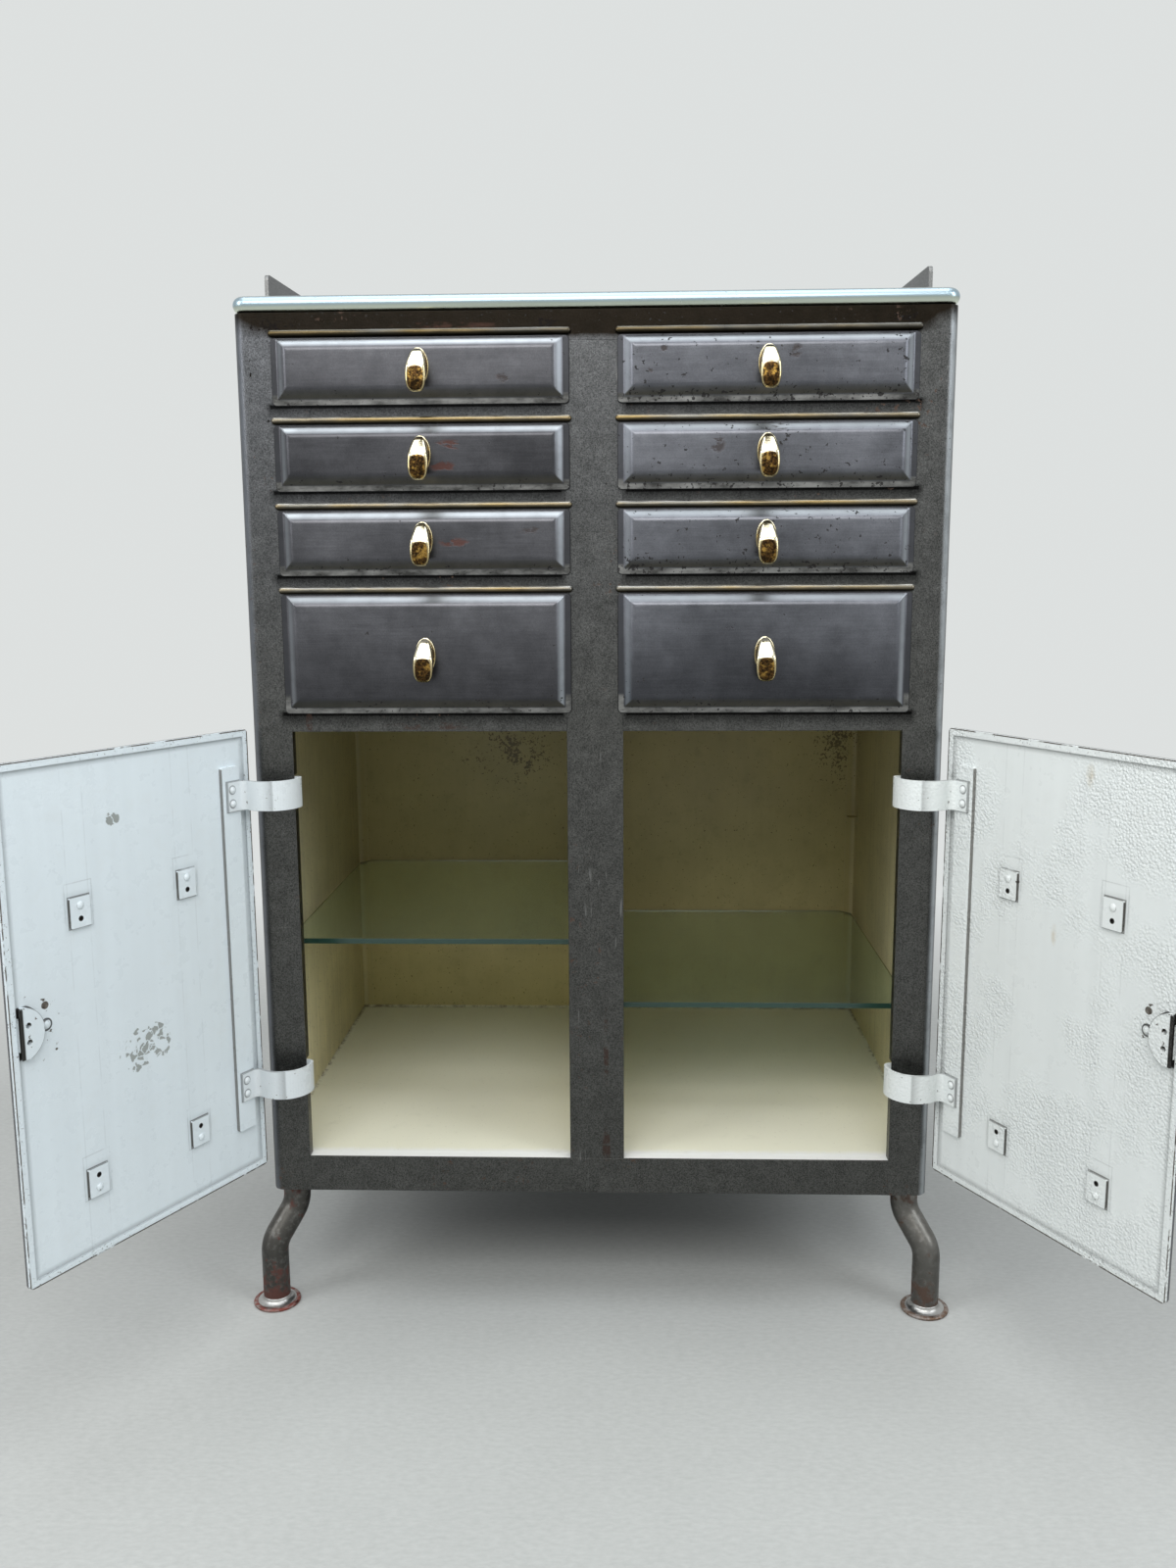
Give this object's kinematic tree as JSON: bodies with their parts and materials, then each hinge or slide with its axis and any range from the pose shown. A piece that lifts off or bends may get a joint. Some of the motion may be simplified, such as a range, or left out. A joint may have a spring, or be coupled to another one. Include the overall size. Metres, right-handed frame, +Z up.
{
  "type": "metal drawer cabinet",
  "caption": "Steel instrument cabinet with small drawers over a double-door cupboard with glass shelves, a low gallery round the top and bent tube legs; doors shown open.",
  "frame": {"origin": "on the floor, midway between the two sides and midway, front to back, between the open doors' edges and the back of the top plate", "axes": "+X to the right as seen from the front, +Y into the depth, +Z up; the front frame faces -Y"},
  "size_m": [1.019, 0.7652, 1.1235],
  "materials": {
    "frame_steel": "dark, worn bare steel, satin",
    "front_steel": "worn bare steel, half polished",
    "bead_steel": "tarnished warm steel, half polished",
    "top_steel": "polished edge",
    "plain_steel": "plain sheet",
    "leg_steel": "dark worn steel with rust",
    "inner_enamel": "cream paint, satin",
    "door_enamel": "white paint, semi-gloss, chipped",
    "pull_brass": "polished",
    "shelf_glass": "clear, green at the edge"
  },
  "bodies": {
    "cabinet": {"side_left": "frame_steel", "side_right": "frame_steel", "back_panel": "frame_steel", "cupboard_floor": "inner_enamel", "underside_plate": "frame_steel", "drawer_deck": "inner_enamel", "centre_partition": "inner_enamel", "mullion": "frame_steel", "front_rails": "frame_steel", "bead_strips": "bead_steel", "drawer_runners": "plain_steel", "top_plate": "top_steel", "gallery": "frame_steel", "leg_front_left": "leg_steel", "leg_front_right": "leg_steel", "leg_rear_left": "leg_steel", "leg_rear_right": "leg_steel", "shelf_tabs": "inner_enamel", "shelf_left": "shelf_glass", "shelf_right": "shelf_glass", "hinge_lugs": "inner_enamel", "hinge_pins": "plain_steel"},
    "door_left": {"door_left_skin": "door_enamel", "door_left_liner": "door_enamel", "door_left_bar": "door_enamel", "door_left_straps": "door_enamel", "door_left_pads": "door_enamel", "door_left_catch": "door_enamel", "door_left_pull": "pull_brass"},
    "door_right": {"door_right_skin": "door_enamel", "door_right_liner": "door_enamel", "door_right_bar": "door_enamel", "door_right_straps": "door_enamel", "door_right_pads": "door_enamel", "door_right_catch": "door_enamel", "door_right_pull": "pull_brass"},
    "drawer_left_1": {"drawer_left_1_front": "front_steel", "drawer_left_1_tray": "plain_steel", "drawer_left_1_pull": "pull_brass"},
    "drawer_left_2": {"drawer_left_2_front": "front_steel", "drawer_left_2_tray": "plain_steel", "drawer_left_2_pull": "pull_brass"},
    "drawer_left_3": {"drawer_left_3_front": "front_steel", "drawer_left_3_tray": "plain_steel", "drawer_left_3_pull": "pull_brass"},
    "drawer_left_4": {"drawer_left_4_front": "front_steel", "drawer_left_4_tray": "plain_steel", "drawer_left_4_pull": "pull_brass"},
    "drawer_right_1": {"drawer_right_1_front": "front_steel", "drawer_right_1_tray": "plain_steel", "drawer_right_1_pull": "pull_brass"},
    "drawer_right_2": {"drawer_right_2_front": "front_steel", "drawer_right_2_tray": "plain_steel", "drawer_right_2_pull": "pull_brass"},
    "drawer_right_3": {"drawer_right_3_front": "front_steel", "drawer_right_3_tray": "plain_steel", "drawer_right_3_pull": "pull_brass"},
    "drawer_right_4": {"drawer_right_4_front": "front_steel", "drawer_right_4_tray": "plain_steel", "drawer_right_4_pull": "pull_brass"}
  },
  "joints": [
    {"name": "door_left_hinge", "type": "hinge", "parent": "cabinet", "child": "door_left", "pos_m": [-0.335, -0.1072, 0.406], "axis": [0, 0, 1], "range_deg": [0, 118.5]},
    {"name": "door_right_hinge", "type": "hinge", "parent": "cabinet", "child": "door_right", "pos_m": [0.335, -0.1072, 0.406], "axis": [0, 0, -1], "range_deg": [0, 118.5]},
    {"name": "drawer_left_1_slide", "type": "slide", "parent": "cabinet", "child": "drawer_left_1", "axis": [0, -1, 0], "range_m": [0, 0.33]},
    {"name": "drawer_left_2_slide", "type": "slide", "parent": "cabinet", "child": "drawer_left_2", "axis": [0, -1, 0], "range_m": [0, 0.33]},
    {"name": "drawer_left_3_slide", "type": "slide", "parent": "cabinet", "child": "drawer_left_3", "axis": [0, -1, 0], "range_m": [0, 0.33]},
    {"name": "drawer_left_4_slide", "type": "slide", "parent": "cabinet", "child": "drawer_left_4", "axis": [0, -1, 0], "range_m": [0, 0.33]},
    {"name": "drawer_right_1_slide", "type": "slide", "parent": "cabinet", "child": "drawer_right_1", "axis": [0, -1, 0], "range_m": [0, 0.33]},
    {"name": "drawer_right_2_slide", "type": "slide", "parent": "cabinet", "child": "drawer_right_2", "axis": [0, -1, 0], "range_m": [0, 0.33]},
    {"name": "drawer_right_3_slide", "type": "slide", "parent": "cabinet", "child": "drawer_right_3", "axis": [0, -1, 0], "range_m": [0, 0.33]},
    {"name": "drawer_right_4_slide", "type": "slide", "parent": "cabinet", "child": "drawer_right_4", "axis": [0, -1, 0], "range_m": [0, 0.33]}
  ]
}
